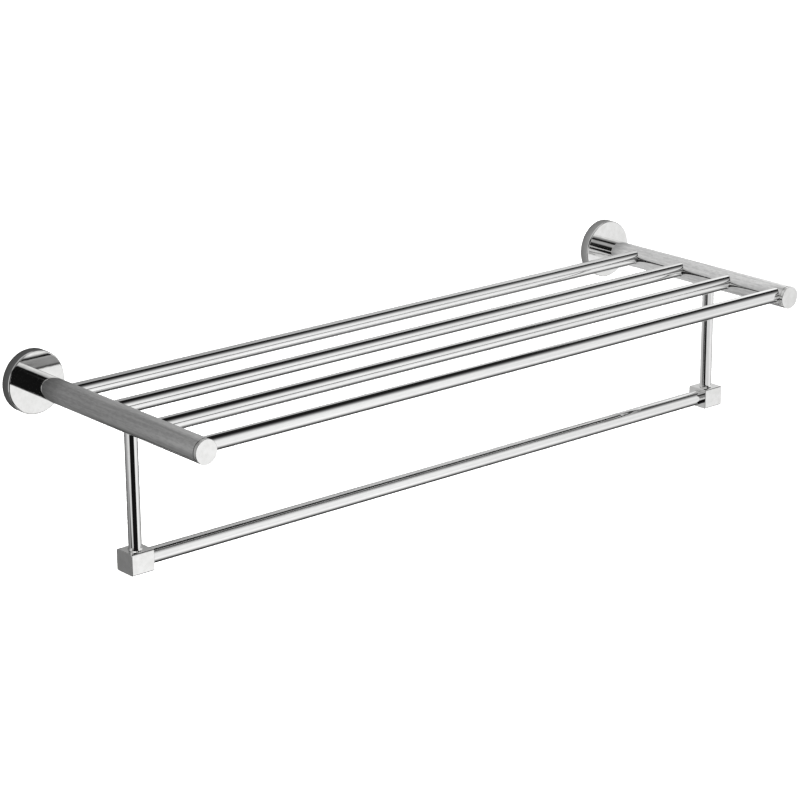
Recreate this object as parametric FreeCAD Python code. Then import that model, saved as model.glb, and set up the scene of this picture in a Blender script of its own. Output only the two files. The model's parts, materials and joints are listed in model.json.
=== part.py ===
import FreeCAD, Part
import math
import os

# A wall-mounted towel rack: four rods between two arms make a shelf, and a towel bar hangs below it.
#
# X runs along the wall, the wall's face is y = 0, the rack stands out towards -Y, and +Z is up. The
# origin is on the wall, midway between the two arms, at the height of their axes. All lengths are in
# millimetres.

# ---- Driving dimensions ----
ARM_SPACING = 600.0  # between the axes of the two arms
ARM_REACH = 225.0  # from the wall to the front of the end caps
ARM_DIAMETER = 19.0
ARM_WALL = 3.0

FLANGE_DIAMETER = 50.0
FLANGE_DEPTH = 9.0
FLANGE_WALL = 2.5
FLANGE_FACE = 2.0
FLANGE_EDGE_RADIUS = 1.2

BRACKET_THICKNESS = 5.0
BRACKET_SCREW_SPACING = 30.0
BRACKET_SCREW_HOLE = 5.0
BRACKET_COUNTERSINK = 9.2
BRACKET_CENTRE_HOLE = 16.0

CAP_RIM = 2.4  # the part of an end cap that stands in front of the groove
CAP_GROOVE = 0.8
CAP_GROOVE_DEPTH = 0.9
CAP_STEM = 16.0  # goes back past the first rod behind the cap, which pins it
CAP_EDGE_RADIUS = 0.4

ROD_COUNT = 4
ROD_DIAMETER = 12.0
ROD_WALL = 1.2
ROD_FIRST = 49.5  # from the wall to the rod nearest it
ROD_PITCH = 55.0
ROD_RISE = 1.5  # of the rods' axes above the arms' axes
ROD_PAST_AXIS = 2.5  # how far a rod's end goes past the arm's axis, inside the bore

POST_DIAMETER = 10.0
POST_FROM_WALL = 132.0
POST_SEAT = 7.9  # below the arm's axis, where the post's flat top meets the arm's spot face
COLLAR_DIAMETER = 11.2
COLLAR_HEIGHT = 1.3

BLOCK_WIDTH = 20.0  # along X
BLOCK_DEPTH = 20.0  # along Y
BLOCK_HEIGHT = 17.0
BLOCK_ROLL_RADIUS = 1.6  # of the long edges, which run along X
BLOCK_EDGE_RADIUS = 0.5  # round the two end faces
BAR_DROP = 107.0  # from the arms' axes down to the towel bar's axis
BAR_DIAMETER = 12.5
BAR_WALL = 1.2
BAR_SOCKET = 6.0

# ---- Fixings ----
ARM_BOLT = 6.0  # M6
ARM_BOLT_HEAD = 10.4
ARM_BOLT_HEAD_HEIGHT = 3.3
ARM_BOLT_REACH = 13.0  # how far the bolt goes into the arm's plug
ARM_BOLT_SOCKET = 4.0
WASHER_DIAMETER = 11.4
WASHER_THICKNESS = 1.4
PLUG_LENGTH = 18.0
PLUG_TAPPING = 15.0
ROD_SCREW = 4.0  # M4, one under each rod's end
ROD_SCREW_RECESS = 0.3
ROD_SCREW_SOCKET = 2.0
FLANGE_SCREW = 4.0  # M4, with a cone point that bites the wall bracket
FLANGE_SCREW_Y = 3.0
FLANGE_SCREW_RECESS = 0.2
FLANGE_SCREW_POINT = 1.0
BAR_SCREW = 3.0  # M3
BAR_SCREW_RECESS = 0.2
BAR_SCREW_SOCKET = 1.5
POST_STUD = 5.0  # M5, at each end of a post
STUD_IN_POST = 8.5
STUD_IN_ANCHOR = 10.2
STUD_IN_BLOCK = 6.0
ANCHOR_LENGTH = 12.0
SOCKET_DEPTH = 1.4
HOLE_END = 0.5  # how much deeper a blind tapped hole is than the stud in it
FIT = 0.05  # radial clearance of a turned piece in its hole
THREAD_CHAMFER = 0.35

# ---- Worked out from the above ----
ARM_RADIUS = ARM_DIAMETER / 2
BORE_RADIUS = ARM_RADIUS - ARM_WALL
ARM_FRONT = ARM_REACH - CAP_RIM - CAP_GROOVE
FLANGE_RADIUS = FLANGE_DIAMETER / 2
CUP_RADIUS = FLANGE_RADIUS - FLANGE_WALL
CUP_DEPTH = FLANGE_DEPTH - FLANGE_FACE
BRACKET_RADIUS = CUP_RADIUS - 4 * FIT
ROD_RADIUS = ROD_DIAMETER / 2
POST_RADIUS = POST_DIAMETER / 2
BAR_RADIUS = BAR_DIAMETER / 2
BLOCK_TOP = -BAR_DROP + BLOCK_HEIGHT / 2
BLOCK_BOTTOM = -BAR_DROP - BLOCK_HEIGHT / 2
POST_BOTTOM = BLOCK_TOP + COLLAR_HEIGHT
ROD_PLACES = [ROD_FIRST + index * ROD_PITCH for index in range(ROD_COUNT)]

RIGHT = FreeCAD.Vector(1, 0, 0)
OUT = FreeCAD.Vector(0, -1, 0)  # away from the wall
UP = FreeCAD.Vector(0, 0, 1)
DOWN = FreeCAD.Vector(0, 0, -1)


def at(x, from_wall, z):
    """A point, given by its distance in front of the wall rather than by its y."""
    return FreeCAD.Vector(x, -from_wall, z)


def cylinder(diameter, length, start, direction):
    return Part.makeCylinder(diameter / 2, length, start, direction)


def chamfered_cylinder(diameter, length, start, direction, chamfer=THREAD_CHAMFER):
    """A plain cylinder with both ends chamfered, as a stud or a plug is turned."""
    solid = cylinder(diameter, length, start, direction)
    ends = [edge for edge in solid.Edges if isinstance(edge.Curve, Part.Circle)]
    return solid.makeChamfer(chamfer, ends)


def tube(diameter, wall, length, start, direction):
    outside = cylinder(diameter, length, start, direction)
    return outside.cut(cylinder(diameter - 2 * wall, length, start, direction))


def hexagon(across_flats, length, start, direction):
    """A six-sided prism, for the key sockets of the screws."""
    radius = across_flats / math.sqrt(3)
    corners = [
        FreeCAD.Vector(radius * math.cos(turn * math.pi / 3), radius * math.sin(turn * math.pi / 3), 0)
        for turn in range(7)
    ]
    prism = Part.Face(Part.makePolygon(corners)).extrude(UP * length)
    prism.Placement = FreeCAD.Placement(start, FreeCAD.Rotation(UP, direction))
    return prism


def set_screw(diameter, length, head, direction, across_flats):
    """A headless screw whose key socket is at head and which points along direction."""
    screw = chamfered_cylinder(diameter, length, head, direction)
    return screw.cut(hexagon(across_flats, SOCKET_DEPTH, head, direction))


# ---- At the wall ----
def wall_bracket(x):
    """The disc screwed to the wall, hidden inside the flange cover."""
    disc = cylinder(2 * BRACKET_RADIUS, BRACKET_THICKNESS, at(x, 0, 0), OUT)
    disc = disc.cut(cylinder(BRACKET_CENTRE_HOLE, BRACKET_THICKNESS, at(x, 0, 0), OUT))
    sink_depth = (BRACKET_COUNTERSINK - BRACKET_SCREW_HOLE) / 2
    for z in (-BRACKET_SCREW_SPACING / 2, BRACKET_SCREW_SPACING / 2):
        disc = disc.cut(cylinder(BRACKET_SCREW_HOLE, BRACKET_THICKNESS, at(x, 0, z), OUT))
        sink = Part.makeCone(
            BRACKET_SCREW_HOLE / 2, BRACKET_COUNTERSINK / 2, sink_depth,
            at(x, BRACKET_THICKNESS - sink_depth, z), OUT)
        disc = disc.cut(sink)
    return disc.cut(flange_screw_point(x, FIT))


def flange_screw_point(x, clearance):
    """The cone at the tip of the flange's set screw, or with a clearance the dimple that takes it."""
    wide = FLANGE_SCREW / 2 + clearance
    narrow = FLANGE_SCREW / 2 - FLANGE_SCREW_POINT + clearance
    return Part.makeCone(
        wide, narrow, FLANGE_SCREW_POINT + clearance, at(x, FLANGE_SCREW_Y, -CUP_RADIUS), UP)


def flange_set_screw(x):
    head = at(x, FLANGE_SCREW_Y, -FLANGE_RADIUS + FLANGE_SCREW_RECESS)
    length = FLANGE_WALL - FLANGE_SCREW_RECESS
    body = cylinder(FLANGE_SCREW, length, head, UP)
    screw = body.fuse(flange_screw_point(x, 0)).removeSplitter()
    return screw.cut(hexagon(ROD_SCREW_SOCKET, SOCKET_DEPTH, head, UP))


def flange_cover(x):
    """The round cup that hides the bracket and carries the arm on its face."""
    cup = cylinder(FLANGE_DIAMETER, FLANGE_DEPTH, at(x, 0, 0), OUT)
    front_edge = [
        edge for edge in cup.Edges
        if isinstance(edge.Curve, Part.Circle) and abs(edge.Curve.Center.y + FLANGE_DEPTH) < FIT
    ]
    cup = cup.makeFillet(FLANGE_EDGE_RADIUS, front_edge)
    cup = cup.cut(cylinder(2 * CUP_RADIUS, CUP_DEPTH, at(x, 0, 0), OUT))
    cup = cup.cut(cylinder(ARM_BOLT + 4 * FIT, FLANGE_DEPTH, at(x, 0, 0), OUT))
    below = at(x, FLANGE_SCREW_Y, -FLANGE_RADIUS - FLANGE_WALL)
    return cup.cut(cylinder(FLANGE_SCREW + 2 * FIT, 3 * FLANGE_WALL, below, UP))


def arm_bolt(x):
    """The button-headed bolt that pulls the arm onto the flange cover from behind."""
    head_y = CUP_DEPTH - WASHER_THICKNESS
    shank = chamfered_cylinder(ARM_BOLT, FLANGE_DEPTH + ARM_BOLT_REACH - head_y, at(x, head_y, 0), OUT)
    head = cylinder(ARM_BOLT_HEAD, ARM_BOLT_HEAD_HEIGHT, at(x, head_y - ARM_BOLT_HEAD_HEIGHT, 0), OUT)
    back_edge = [
        edge for edge in head.Edges
        if isinstance(edge.Curve, Part.Circle) and edge.Curve.Center.y > -head_y + FIT
    ]
    head = head.makeFillet(ARM_BOLT_HEAD_HEIGHT / 2, back_edge)
    socket = hexagon(ARM_BOLT_SOCKET, 2 * SOCKET_DEPTH, at(x, head_y - ARM_BOLT_HEAD_HEIGHT, 0), OUT)
    return head.fuse(shank).cut(socket)


def arm_washer(x):
    rim = (WASHER_DIAMETER - ARM_BOLT) / 2 - 2 * FIT
    return tube(WASHER_DIAMETER, rim, WASHER_THICKNESS, at(x, CUP_DEPTH - WASHER_THICKNESS, 0), OUT)


def arm_plug(x):
    """The threaded insert pressed into the back of the arm."""
    plug = chamfered_cylinder(2 * (BORE_RADIUS - FIT), PLUG_LENGTH, at(x, FLANGE_DEPTH, 0), OUT)
    return plug.cut(cylinder(ARM_BOLT + 2 * FIT, PLUG_TAPPING, at(x, FLANGE_DEPTH, 0), OUT))


# ---- The arm ----
def arm(x, inward):
    """The tube that reaches out from the wall, drilled for the rods, their set screws and the post."""
    body = tube(ARM_DIAMETER, ARM_WALL, ARM_FRONT - FLANGE_DEPTH, at(x, FLANGE_DEPTH, 0), OUT)
    for from_wall in ROD_PLACES:
        body = body.cut(rod_hole(x, inward, from_wall)).cut(rod_screw_hole(x, from_wall))
    spot_face = cylinder(POST_DIAMETER + 2 * FIT, ARM_RADIUS, at(x, POST_FROM_WALL, -POST_SEAT), DOWN)
    stud_hole = cylinder(POST_STUD + 2 * FIT, ARM_RADIUS, at(x, POST_FROM_WALL, 0), DOWN)
    return body.cut(spot_face).cut(stud_hole)


def rod_hole(x, inward, from_wall):
    """The blind hole for a rod's end, drilled from the arm's inner side to a little past its axis."""
    deep_end = at(x - inward * (ROD_PAST_AXIS + FIT), from_wall, ROD_RISE)
    return cylinder(ROD_DIAMETER + 2 * FIT, ARM_DIAMETER, deep_end, RIGHT * inward)


def rod_screw_hole(x, from_wall):
    return cylinder(ROD_SCREW + 2 * FIT, ARM_DIAMETER, at(x, from_wall, 0), DOWN)


def end_cap(x, inward):
    """The disc on the arm's front end. Its neck leaves the groove, and the last rod goes into its stem."""
    disc = cylinder(ARM_DIAMETER, CAP_RIM, at(x, ARM_FRONT + CAP_GROOVE, 0), OUT)
    front_edge = [
        edge for edge in disc.Edges
        if isinstance(edge.Curve, Part.Circle) and edge.Curve.Center.y < -ARM_REACH + FIT
    ]
    disc = disc.makeFillet(CAP_EDGE_RADIUS, front_edge)
    neck = cylinder(ARM_DIAMETER - 2 * CAP_GROOVE_DEPTH, CAP_GROOVE, at(x, ARM_FRONT, 0), OUT)
    stem = cylinder(2 * (BORE_RADIUS - FIT), CAP_STEM, at(x, ARM_FRONT - CAP_STEM, 0), OUT)
    cap = disc.fuse([neck, stem]).removeSplitter()
    return cap.cut(rod_hole(x, inward, ROD_PLACES[-1])).cut(rod_screw_hole(x, ROD_PLACES[-1]))


def rod_set_screws(x):
    """One headless screw under the arm for each rod, its tip on the rod."""
    length = ARM_RADIUS - ROD_SCREW_RECESS - ROD_RADIUS + ROD_RISE
    heads = [at(x, from_wall, -ARM_RADIUS + ROD_SCREW_RECESS) for from_wall in ROD_PLACES]
    return Part.makeCompound([set_screw(ROD_SCREW, length, head, UP, ROD_SCREW_SOCKET) for head in heads])


def shelf_rod(from_wall):
    length = ARM_SPACING + 2 * ROD_PAST_AXIS
    return tube(ROD_DIAMETER, ROD_WALL, length, at(-length / 2, from_wall, ROD_RISE), RIGHT)


# ---- The hanger under each arm ----
def post_anchor(x):
    """The barrel nut inside the arm's bore, which the post's upper stud screws into."""
    start = at(x, POST_FROM_WALL - ANCHOR_LENGTH / 2, 0)
    barrel = chamfered_cylinder(2 * (BORE_RADIUS - FIT), ANCHOR_LENGTH, start, OUT)
    stud_top = -POST_SEAT + STUD_IN_ANCHOR
    tapping = cylinder(
        POST_STUD + 2 * FIT, ARM_DIAMETER, at(x, POST_FROM_WALL, stud_top + HOLE_END), DOWN)
    return barrel.cut(tapping)


def post_upper_stud(x):
    start = at(x, POST_FROM_WALL, -POST_SEAT - STUD_IN_POST)
    return chamfered_cylinder(POST_STUD, STUD_IN_POST + STUD_IN_ANCHOR, start, UP)


def post(x):
    """The solid rod between the arm and the block, tapped at both ends."""
    length = -POST_SEAT - POST_BOTTOM
    body = cylinder(POST_DIAMETER, length, at(x, POST_FROM_WALL, POST_BOTTOM), UP)
    tapping = STUD_IN_POST + HOLE_END
    body = body.cut(cylinder(POST_STUD + 2 * FIT, tapping, at(x, POST_FROM_WALL, POST_BOTTOM), UP))
    return body.cut(cylinder(POST_STUD + 2 * FIT, tapping, at(x, POST_FROM_WALL, -POST_SEAT), DOWN))


def post_collar(x):
    """The low tapered ring between the post's foot and the block."""
    ring = Part.makeCone(
        COLLAR_DIAMETER / 2, POST_RADIUS, COLLAR_HEIGHT, at(x, POST_FROM_WALL, BLOCK_TOP), UP)
    return ring.cut(cylinder(POST_STUD + 2 * FIT, COLLAR_HEIGHT, at(x, POST_FROM_WALL, BLOCK_TOP), UP))


def post_lower_stud(x):
    start = at(x, POST_FROM_WALL, BLOCK_TOP - STUD_IN_BLOCK)
    return chamfered_cylinder(POST_STUD, STUD_IN_BLOCK + COLLAR_HEIGHT + STUD_IN_POST, start, UP)


def bar_block(x, inward):
    """The block at the post's foot, with a blind socket for the towel bar in its inner face."""
    corner = at(x - BLOCK_WIDTH / 2, POST_FROM_WALL + BLOCK_DEPTH / 2, BLOCK_BOTTOM)
    block = Part.makeBox(BLOCK_WIDTH, BLOCK_DEPTH, BLOCK_HEIGHT, corner)
    long_edges = [edge for edge in block.Edges if abs(edge.tangentAt(edge.FirstParameter).x) > 0.5]
    block = block.makeFillet(BLOCK_ROLL_RADIUS, long_edges)
    end_edges = [edge for edge in block.Edges if edge.BoundBox.XLength < FIT]
    block = block.makeFillet(BLOCK_EDGE_RADIUS, end_edges)
    inner_face = at(x + inward * BLOCK_WIDTH / 2, POST_FROM_WALL, -BAR_DROP)
    block = block.cut(cylinder(BAR_DIAMETER + 2 * FIT, BAR_SOCKET, inner_face, RIGHT * -inward))
    tapping = cylinder(
        POST_STUD + 2 * FIT, STUD_IN_BLOCK + HOLE_END, at(x, POST_FROM_WALL, BLOCK_TOP), DOWN)
    screw_hole = cylinder(BAR_SCREW + 2 * FIT, BLOCK_HEIGHT / 2, bar_screw_head(x, inward), UP)
    return block.cut(tapping).cut(screw_hole)


def bar_screw_head(x, inward):
    return at(x + inward * (BLOCK_WIDTH - BAR_SOCKET) / 2, POST_FROM_WALL, BLOCK_BOTTOM)


def bar_set_screw(x, inward):
    length = BLOCK_HEIGHT / 2 - BAR_SCREW_RECESS - BAR_RADIUS
    head = bar_screw_head(x, inward) + UP * BAR_SCREW_RECESS
    return set_screw(BAR_SCREW, length, head, UP, BAR_SCREW_SOCKET)


def towel_bar():
    length = ARM_SPACING - BLOCK_WIDTH + 2 * (BAR_SOCKET - FIT)
    return tube(BAR_DIAMETER, BAR_WALL, length, at(-length / 2, POST_FROM_WALL, -BAR_DROP), RIGHT)


# ---- The whole rack ----
def side_pieces(x, inward):
    """Every piece that belongs to one arm, by name. inward is the sign of the way to the other arm."""
    return {
        "wall_bracket": wall_bracket(x),
        "flange_cover": flange_cover(x),
        "flange_set_screw": flange_set_screw(x),
        "arm_bolt": arm_bolt(x),
        "arm_washer": arm_washer(x),
        "arm_plug": arm_plug(x),
        "arm": arm(x, inward),
        "end_cap": end_cap(x, inward),
        "rod_set_screws": rod_set_screws(x),
        "post_anchor": post_anchor(x),
        "post_upper_stud": post_upper_stud(x),
        "post": post(x),
        "post_collar": post_collar(x),
        "post_lower_stud": post_lower_stud(x),
        "bar_block": bar_block(x, inward),
        "bar_set_screw": bar_set_screw(x, inward),
    }


def main():
    pieces = {}
    for side, x, inward in (("left", -ARM_SPACING / 2, 1), ("right", ARM_SPACING / 2, -1)):
        for name, shape in side_pieces(x, inward).items():
            pieces[f"{side}_{name}"] = shape
    for number, from_wall in enumerate(ROD_PLACES, start=1):
        pieces[f"shelf_rod_{number}"] = shelf_rod(from_wall)
    pieces["towel_bar"] = towel_bar()

    os.makedirs("parts", exist_ok=True)
    for name, shape in pieces.items():
        shape.exportStep(f"parts/{name}.step")
        print(name, len(shape.Solids), shape.isValid(), round(shape.Volume, 1))


main()
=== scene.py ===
import bpy
import json
import math
from mathutils import Matrix, Vector


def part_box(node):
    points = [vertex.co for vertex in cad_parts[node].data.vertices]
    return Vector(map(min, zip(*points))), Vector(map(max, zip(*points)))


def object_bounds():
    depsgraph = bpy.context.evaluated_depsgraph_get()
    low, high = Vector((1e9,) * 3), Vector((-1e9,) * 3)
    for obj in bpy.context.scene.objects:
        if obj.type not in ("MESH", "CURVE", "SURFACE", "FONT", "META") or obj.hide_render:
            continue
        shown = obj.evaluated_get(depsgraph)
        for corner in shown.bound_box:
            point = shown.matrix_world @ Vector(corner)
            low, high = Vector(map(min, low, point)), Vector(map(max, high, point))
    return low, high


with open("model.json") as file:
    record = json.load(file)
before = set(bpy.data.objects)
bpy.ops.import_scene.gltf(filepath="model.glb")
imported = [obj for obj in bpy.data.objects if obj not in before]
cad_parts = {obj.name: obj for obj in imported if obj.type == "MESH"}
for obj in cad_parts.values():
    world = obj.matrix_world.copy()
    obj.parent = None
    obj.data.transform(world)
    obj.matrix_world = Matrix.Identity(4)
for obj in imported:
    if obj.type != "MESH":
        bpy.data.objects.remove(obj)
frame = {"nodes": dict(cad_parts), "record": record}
cad_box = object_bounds()

# Everything is in metres. +X runs to the right along the wall, and +Z is up. The wall is the plane y = 0,
# with the rack on its -Y side, and the arms' axes are at z = 0.

# ---- The view ----
CAMERA_HEADING = math.radians(39.994)  # from +Y towards +X
CAMERA_TILT = math.radians(-17.776)
CAMERA_ROLL = math.radians(-0.442)
CAMERA_DISTANCE = 2.1531
CAMERA_LENS = 121.27
CAMERA_AIM_OFFSET = Vector((-0.0188, 0.0130, -0.0065))  # from the middle of the rack

# ---- The floor and its light ----
FLOOR_DROP = 1.2  # the rack hangs this far above the floor
FLOOR_RADIUS = 60.0
FLOOR_CORNERS = 128
FLOOR_TONE = 0.95
LIGHT_STRENGTH = 5.0
LIGHT_SPREAD = math.radians(60)

# ---- The studio that the chrome mirrors ----
BACKGROUND_TONE = 1.0  # what the picture itself shows behind the rack
LEFT_TONE = 0.75
HIGH_LEFT_TONE = 0.55
OVERHEAD_TONE = 1.1
BELOW_TONE = 0.6
BEHIND_DARK = 0.015
BEHIND_PALE = 0.7
DARK_CARD_TONE = 0.008
SIDE_CARD_TONE = 0.95

WALL_DEPTH = -0.0005  # just in front of the brackets' backs, so that they don't mirror the wall
WALL_HALF_WIDTH = 3.0
WALL_LOW, WALL_HIGH = -3.0, 0.6
WALL_TOP, WALL_TOP_RIGHT = 0.275, 0.48  # where it fades out, on the left and past the right arm
WALL_FADE = 0.035  # to each side of the top
DARK_CARD_NEAR, DARK_CARD_FAR = (-0.15, -0.547), (-0.71, -0.328)
PALE_CARD_NEAR, PALE_CARD_FAR = (-0.70, -0.35), (-1.05, 0.0)
SIDE_CARD_X = 0.56
SIDE_CARD_FRONT = -0.2
SIDE_CARD_FADE = 0.05

flange_low, flange_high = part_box("right_flange_cover")
ARM_X = (flange_low[0] + flange_high[0]) / 2  # the arms' axes are this far to each side

# ---- The finishes ----
ALONG_X, ALONG_Y, ALONG_Z = 0, 1, 2
TUBE_RATIO = 1.5  # a plated piece whose longest side is this many times the next is polished lengthwise


def make_camera():
    low, high = cad_box
    aim = (low + high) / 2 + CAMERA_AIM_OFFSET
    forward = Vector((
        math.sin(CAMERA_HEADING) * math.cos(CAMERA_TILT),
        math.cos(CAMERA_HEADING) * math.cos(CAMERA_TILT),
        math.sin(CAMERA_TILT)))
    level = Vector((math.cos(CAMERA_HEADING), -math.sin(CAMERA_HEADING), 0))
    up = level.cross(forward)
    right = level * math.cos(CAMERA_ROLL) + up * math.sin(CAMERA_ROLL)
    up = right.cross(forward)
    data = bpy.data.cameras.new("camera")
    data.lens = CAMERA_LENS
    data.clip_end = 4 * FLOOR_RADIUS
    camera = bpy.data.objects.new("camera", data)
    turn = Matrix((right, up, -forward)).transposed()
    camera.matrix_world = Matrix.Translation(aim - forward * CAMERA_DISTANCE) @ turn.to_4x4()
    bpy.context.scene.collection.objects.link(camera)
    bpy.context.scene.camera = camera


# ---- Node helpers ----
class Nodes:
    """A node tree being built, with short names for the arithmetic that it needs."""

    def __init__(self, owner):
        owner.use_nodes = True
        self.owner = owner
        self.tree = owner.node_tree
        self.tree.nodes.clear()

    def finish(self, surface):
        """Makes this shader the one that shows."""
        output = self.new("ShaderNodeOutputWorld" if isinstance(self.owner, bpy.types.World)
                          else "ShaderNodeOutputMaterial")
        self.put(output.inputs["Surface"], surface.outputs[0])

    def new(self, kind, **settings):
        node = self.tree.nodes.new(kind)
        for name, value in settings.items():
            setattr(node, name, value)
        return node

    def put(self, socket, value):
        """Links the value to the socket if it is an output, and sets it if it is a number."""
        if isinstance(value, bpy.types.NodeSocket):
            self.tree.links.new(value, socket)
        else:
            socket.default_value = value

    def math(self, operation, *values):
        node = self.new("ShaderNodeMath", operation=operation)
        for socket, value in zip(node.inputs, values):
            self.put(socket, value)
        return node.outputs[0]

    def product(self, *values):
        total = values[0]
        for value in values[1:]:
            total = self.math("MULTIPLY", total, value)
        return total

    def ramp(self, value, start, end, low=0.0, high=1.0):
        """Goes smoothly from low, where value is at start, to high, where it is at end."""
        node = self.new("ShaderNodeMapRange", interpolation_type="SMOOTHSTEP")
        for socket, number in zip(node.inputs, (value, start, end, low, high)):
            self.put(socket, number)
        return node.outputs[0]

    def mix(self, share, first, second):
        """first where share is 0, second where it is 1."""
        node = self.new("ShaderNodeMix", data_type="FLOAT")
        self.put(node.inputs[0], share)
        self.put(node.inputs[2], first)
        self.put(node.inputs[3], second)
        return node.outputs[0]

    def tint(self, share, first, second):
        """The first colour where share is 0, the second where it is 1."""
        node = self.new("ShaderNodeMix", data_type="RGBA")
        self.put(node.inputs[0], share)
        node.inputs[6].default_value = (*first, 1)
        node.inputs[7].default_value = (*second, 1)
        return node.outputs[2]

    def curve(self, value, points):
        """Joins the (value, tone) points with straight lines."""
        first, last = points[0][0], points[-1][0]
        node = self.new("ShaderNodeValToRGB")
        share = self.new("ShaderNodeMapRange")
        for socket, number in zip(share.inputs, (value, first, last)):
            self.put(socket, number)
        self.put(node.inputs[0], share.outputs[0])
        stops = node.color_ramp.elements
        while len(stops) < len(points):
            stops.new(0.5)
        for stop, (place, tone) in zip(stops, points):
            stop.position = (place - first) / (last - first)
            stop.color = (tone, tone, tone, 1)
        return node.outputs[0]

    def split(self, vector):
        node = self.new("ShaderNodeSeparateXYZ")
        self.put(node.inputs[0], vector)
        return node.outputs

    def along(self, vector, direction):
        """How far the vector reaches along a direction."""
        node = self.new("ShaderNodeVectorMath", operation="DOT_PRODUCT")
        self.put(node.inputs[0], vector)
        node.inputs[1].default_value = Vector(direction).normalized()
        return node.outputs["Value"]

    def place(self):
        return self.new("ShaderNodeTexCoord").outputs["Object"]

    def noise(self, stretch, detail=2.0):
        """Noise from 0 to 1 with about this many lumps per metre along X, Y and Z."""
        mapping = self.new("ShaderNodeMapping")
        self.put(mapping.inputs["Vector"], self.place())
        mapping.inputs["Scale"].default_value = stretch
        node = self.new("ShaderNodeTexNoise")
        self.put(node.inputs["Vector"], mapping.outputs[0])
        node.inputs["Scale"].default_value = 1.0
        node.inputs["Detail"].default_value = detail
        return node.outputs["Fac"]

    def bump(self, height, depth):
        """Raises the surface by up to depth, in metres, where height is 1."""
        node = self.new("ShaderNodeBump")
        node.inputs["Distance"].default_value = depth
        self.put(node.inputs["Height"], height)
        return node.outputs[0]


# ---- The studio ----
def front_light(n, direction, x, y, z):
    """The large soft light in front of the rack, brightest well to the right."""
    level = n.math("SQRT", n.math("SUBTRACT", 1.0, n.product(x, x)))
    forward = n.math("DIVIDE", n.product(y, -1.0), level)
    facing = n.curve(forward, [
        (-0.4, 0.02), (0.0, 0.06), (0.23, 0.29), (0.57, 0.85),
        (0.76, 1.1), (0.85, 1.06), (0.93, 0.98), (1.0, 0.96)])
    across = n.curve(x, [(-0.1, 0.76), (0.1, 0.80), (0.6, 1.0), (0.68, 0.90), (0.75, 0.80)])
    # it stops short of the pale side, and reaches further left only below the level
    low_left = n.product(n.ramp(y, -0.25, -0.5), n.ramp(z, 0.0, -0.15))
    stop = n.math("MAXIMUM", n.ramp(n.along(direction, (0.97, 0.24, 0)), -0.08, 0.10), low_left)
    return n.product(facing, across, stop, n.ramp(z, 0.92, 0.25))


def make_world():
    """How bright the surroundings are that the chrome mirrors, by direction: x to the right, y into the
    wall and z up."""
    world = bpy.data.worlds.new("studio")
    bpy.context.scene.world = world
    n = Nodes(world)
    direction = n.new("ShaderNodeTexCoord").outputs["Generated"]
    x, y, z = n.split(direction)

    pale = n.product(n.ramp(x, -0.55, -0.9), n.ramp(z, 0.55, 0.2), n.ramp(z, -0.30, -0.18), LEFT_TONE)
    tone = n.math("MAXIMUM", pale, front_light(n, direction, x, y, z))
    # behind: dark above the wall's top edge, pale lower down, where only the backs of the pieces look
    tone = n.mix(n.ramp(y, 0.0, 0.15), tone, n.ramp(z, 0.55, 0.35, BEHIND_DARK, BEHIND_PALE))
    # high up on the left a dimmer soft light
    tone = n.math(
        "MAXIMUM", tone, n.product(n.ramp(z, 0.45, 0.62), n.ramp(x, 0.0, -0.25), HIGH_LEFT_TONE))
    # straight up a small soft light, straight down the pale floor
    tone = n.mix(n.ramp(z, 0.88, 0.94), tone, OVERHEAD_TONE)
    tone = n.mix(n.ramp(z, -0.86, -0.93), tone, BELOW_TONE)

    seen = n.new("ShaderNodeLightPath").outputs["Is Camera Ray"]
    strength = n.mix(seen, tone, BACKGROUND_TONE)
    colour = n.new("ShaderNodeCombineColor")
    for channel in colour.inputs:
        n.put(channel, strength)
    background = n.new("ShaderNodeBackground")
    n.put(background.inputs["Color"], colour.outputs[0])
    n.finish(background)


def reflected_card(name, near, far, heights, tone_of, cover_of):
    """An upright card from near to far, as (x, y), that only reflections see, and only from its front.
    tone_of and cover_of give its brightness and how solid it is, from the place on it."""
    low, high = heights
    mesh = bpy.data.meshes.new(name)
    mesh.from_pydata([(*near, low), (*far, low), (*far, high), (*near, high)], [], [range(4)])
    card = bpy.data.objects.new(name, mesh)
    bpy.context.scene.collection.objects.link(card)
    card.visible_camera = False
    card.visible_diffuse = False
    card.visible_transmission = False
    card.visible_shadow = False
    material = bpy.data.materials.new(name)
    n = Nodes(material)
    place = n.split(n.place())
    glow = n.new("ShaderNodeEmission")
    n.put(glow.inputs["Strength"], tone_of(n, place))
    clear = n.new("ShaderNodeBsdfTransparent")
    front = n.math("SUBTRACT", 1.0, n.new("ShaderNodeNewGeometry").outputs["Backfacing"])
    surface = n.new("ShaderNodeMixShader")
    n.put(surface.inputs[0], n.product(cover_of(n, place), front))
    n.put(surface.inputs[1], clear.outputs[0])
    n.put(surface.inputs[2], glow.outputs[0])
    n.finish(surface)
    mesh.materials.append(material)


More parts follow.
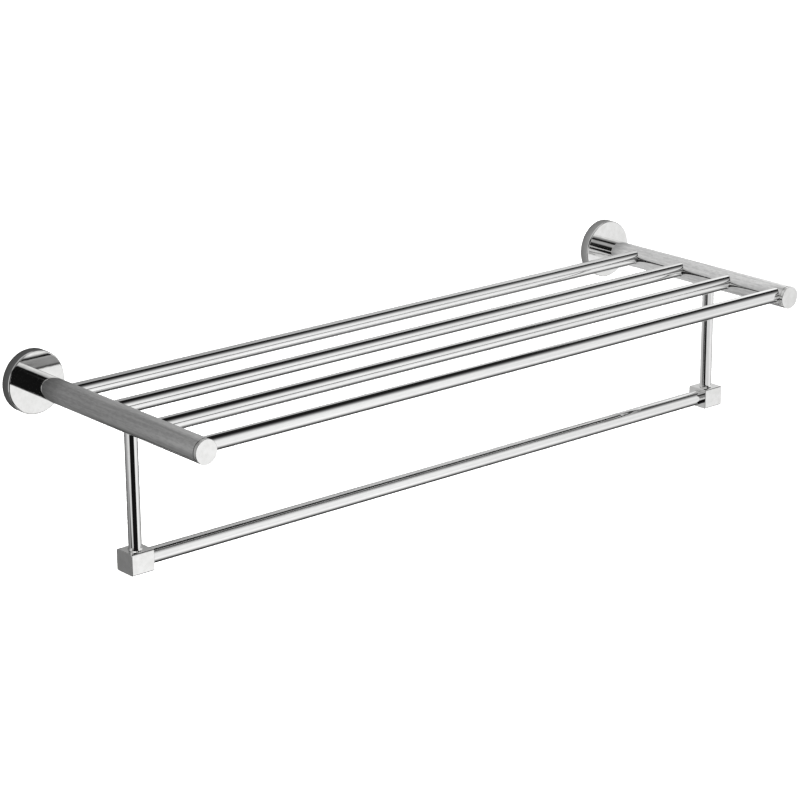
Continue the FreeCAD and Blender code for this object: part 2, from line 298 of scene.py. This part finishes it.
def wall_tone(n, place):
    """The wall's painted light and shade: dimmest behind the left arm, low down, and close round the
    flanges.
    """
    x, z = place[0], place[2]
    # painted light: the wall is lit dimmest behind the left arm and brighter towards the right
    across = n.curve(x, [
        (-1.0, 0.75), (-0.65, 0.60), (-0.55, 0.47), (-0.48, 0.34), (-0.40, 0.25), (-0.3, 0.235),
        (-0.25, 0.32), (-0.2, 0.36), (0.0, 0.50), (0.2, 0.62), (0.3, 0.66), (0.42, 0.66),
        (0.55, 0.95), (1.0, 0.85)])
    # painted shade: the wall is darker low down, below the rack
    down = n.curve(z, [
        (-0.42, 0.08), (-0.3, 0.15), (-0.25, 0.35), (-0.19, 0.8), (-0.08, 0.95), (0.0, 0.98),
        (0.14, 1.1)])
    # a painted shadow of the rack on the wall: darker below the arms, between the left one and the middle
    rack_shadow = n.product(n.ramp(z, -0.03, -0.11), n.ramp(x, -0.37, -0.27), n.ramp(x, 0.1, -0.05))
    down = n.product(down, n.math("SUBTRACT", 1.0, n.product(rack_shadow, 0.65)))
    # painted contact shade on the wall, darkest close round each flange
    from_arm = n.math("SUBTRACT", n.math("ABSOLUTE", x), ARM_X)
    from_axis = n.math("SQRT", n.math("ADD", n.product(from_arm, from_arm), n.product(z, z)))
    shade = n.curve(from_axis, [(0.024, 0.28), (0.030, 0.45), (0.036, 0.6), (0.05, 1.0)])
    return n.product(across, down, shade)


def wall_cover(n, place):
    """The wall ends at its top edge, which is higher past the right arm."""
    top = n.ramp(place[0], 0.40, 0.47, WALL_TOP, WALL_TOP_RIGHT)
    return n.ramp(n.math("SUBTRACT", place[2], top), WALL_FADE, -WALL_FADE)


def dark_cover(n, place):
    return n.product(
        n.ramp(place[0], -0.165, -0.20), n.ramp(place[0], -0.70, -0.65), n.ramp(place[2], 0.5, 0.3))


def pale_cover(n, place):
    return n.product(n.ramp(place[2], -0.33, -0.27), n.ramp(place[2], -0.03, -0.08))


def side_cover(n, place):
    front_edge = n.ramp(place[1], SIDE_CARD_FRONT, SIDE_CARD_FRONT + SIDE_CARD_FADE)
    return n.product(front_edge, n.ramp(place[2], 0.55, 0.48))


def make_cards():
    """The wall that the rack hangs on, glowing with painted light and shade as the chrome mirrors it, a
    dark and a pale card on the left, and a pale card high on the right."""
    reflected_card(
        "wall", (-WALL_HALF_WIDTH, WALL_DEPTH), (WALL_HALF_WIDTH, WALL_DEPTH), (WALL_LOW, WALL_HIGH),
        wall_tone, wall_cover)
    reflected_card(
        "dark_card", DARK_CARD_NEAR, DARK_CARD_FAR, (-0.9, 0.55),
        lambda n, place: DARK_CARD_TONE, dark_cover)
    reflected_card(
        "pale_card", PALE_CARD_NEAR, PALE_CARD_FAR, (-0.34, -0.02),
        lambda n, place: LEFT_TONE, pale_cover)
    reflected_card(
        "side_card", (SIDE_CARD_X, SIDE_CARD_FRONT), (SIDE_CARD_X, 0.0), (0.2, 0.6),
        lambda n, place: SIDE_CARD_TONE, side_cover)


def make_floor():
    """A plain pale floor far below the rack, which the chrome doesn't mirror."""
    low = cad_box[0]
    bpy.ops.mesh.primitive_circle_add(
        vertices=FLOOR_CORNERS, radius=FLOOR_RADIUS, fill_type="NGON", location=(0, 0, low.z - FLOOR_DROP))
    floor = bpy.context.object
    floor.name = "floor"
    floor.visible_glossy = False
    material = bpy.data.materials.new("floor")
    n = Nodes(material)
    surface = n.new("ShaderNodeBsdfDiffuse")
    surface.inputs["Color"].default_value = (FLOOR_TONE, FLOOR_TONE, FLOOR_TONE, 1)
    n.finish(surface)
    floor.data.materials.append(material)


def make_light():
    """One broad overhead light for the floor. The chrome mirrors the studio instead."""
    data = bpy.data.lights.new("overhead", "SUN")
    data.energy = LIGHT_STRENGTH
    data.angle = LIGHT_SPREAD
    light = bpy.data.objects.new("overhead", data)
    light.visible_glossy = False
    bpy.context.scene.collection.objects.link(light)


# ---- Materials ----
def stretched(grain, across, along):
    """The lumps per metre on each axis, for a pattern that is drawn out along the grain."""
    return tuple(along if axis == grain else across for axis in range(3))


def metal(name, colours, roughness, depth, cloud, height):
    """A metal that goes from the first to the second of its colours and roughnesses with the cloud, and
    whose surface rises by up to depth, in metres, with the height."""
    material = bpy.data.materials.new(name)
    n = Nodes(material)
    surface = n.new("ShaderNodeBsdfPrincipled")
    surface.inputs["Metallic"].default_value = 1.0
    clouds = cloud(n)
    n.put(surface.inputs["Base Color"], n.tint(clouds, *colours))
    n.put(surface.inputs["Roughness"], n.mix(clouds, *roughness))
    n.put(surface.inputs["Normal"], n.bump(height(n), depth))
    n.finish(surface)
    return material


def polished_chrome(name, grain, dimmest, mottle):
    """Bright plate with fine polishing lines along the grain, and streaks as dim as dimmest. mottle is
    the share of the streaks that small specks break up."""
    def cloud(n):
        streaks = n.ramp(n.noise(stretched(grain, 420, 11), detail=3.0), 0.35, 0.65)
        specks = n.ramp(n.noise(stretched(grain, 700, 190), detail=3.0), 0.35, 0.65)
        return n.mix(mottle, streaks, specks)

    def height(n):
        lines = n.noise(stretched(grain, 2600, 60))
        waves = n.noise(stretched(grain, 90, 9))
        return n.math("ADD", n.product(lines, 0.05), waves)

    return metal(
        name, colours=((dimmest,) * 3, (0.91, 0.91, 0.905)), roughness=(0.06, 0.02), depth=0.00004,
        cloud=cloud, height=height)


def polished_face(name):
    """The same plate on discs and blocks, polished in no one direction."""
    def cloud(n):
        return n.ramp(n.noise((170, 170, 170), detail=4.0), 0.3, 0.7)

    def height(n):
        return n.math("ADD", n.product(n.noise((2400, 2400, 2400)), 0.05), n.noise((75, 75, 75)))

    return metal(
        name, colours=((0.83, 0.83, 0.82), (0.90, 0.90, 0.895)), roughness=(0.05, 0.02), depth=0.00003,
        cloud=cloud, height=height)


def cast_zinc(name):
    """Matt grey casting, slightly mottled and grained."""
    def cloud(n):
        return n.ramp(n.noise((220, 220, 220), detail=4.0), 0.3, 0.7)

    def height(n):
        return n.noise((1900, 1900, 1900), detail=3.0)

    return metal(
        name, colours=((0.47, 0.48, 0.49), (0.63, 0.64, 0.65)), roughness=(0.52, 0.38), depth=0.00012,
        cloud=cloud, height=height)


def zinc_plated_steel(name):
    """Grey-white plate with a faint yellow and blue bloom, and fine marks drawn out along Z."""
    def cloud(n):
        return n.ramp(n.noise((420, 420, 420), detail=3.0), 0.3, 0.7)

    def height(n):
        return n.noise((3000, 3000, 900))

    return metal(
        name, colours=((0.56, 0.57, 0.60), (0.68, 0.66, 0.58)), roughness=(0.34, 0.22), depth=0.00006,
        cloud=cloud, height=height)


def turned_brass(name):
    """Unplated brass with a slight tarnish, and tool marks round Y."""
    def cloud(n):
        return n.ramp(n.noise((300, 120, 300), detail=3.0), 0.3, 0.7)

    def height(n):
        return n.noise((500, 4200, 500))

    return metal(
        name, colours=((0.62, 0.46, 0.21), (0.82, 0.66, 0.36)), roughness=(0.30, 0.18), depth=0.00008,
        cloud=cloud, height=height)


def paint_nodes():
    """Gives every CAD node the finish that its slot in the record names. Plated pieces are polished along
    their longest side, and discs and blocks in no one direction."""
    chromes = [
        polished_chrome("chrome_along_x", ALONG_X, dimmest=0.82, mottle=0.3),
        polished_chrome("chrome_along_y", ALONG_Y, dimmest=0.68, mottle=0.45),
        polished_chrome("chrome_along_z", ALONG_Z, dimmest=0.80, mottle=0.3)]
    face = polished_face("chrome_face")
    finishes = {
        "zinc_bracket": cast_zinc("cast_zinc"),
        "fixing_steel": zinc_plated_steel("zinc_plated_steel"),
        "brass_insert": turned_brass("turned_brass"),
    }
    for entry in frame["record"]["subparts"]:
        name, slot = entry["node"], entry["material_slot"]
        low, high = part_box(name)
        extent = [high[axis] - low[axis] for axis in range(3)]
        longest, second = sorted(extent, reverse=True)[:2]
        plate = chromes[extent.index(longest)] if longest > TUBE_RATIO * second else face
        materials = frame["nodes"][name].data.materials
        materials.clear()
        materials.append(finishes.get(slot, plate))


make_camera()
make_world()
make_cards()
make_floor()
make_light()
paint_nodes()
bpy.context.scene.view_settings.view_transform = "Standard"
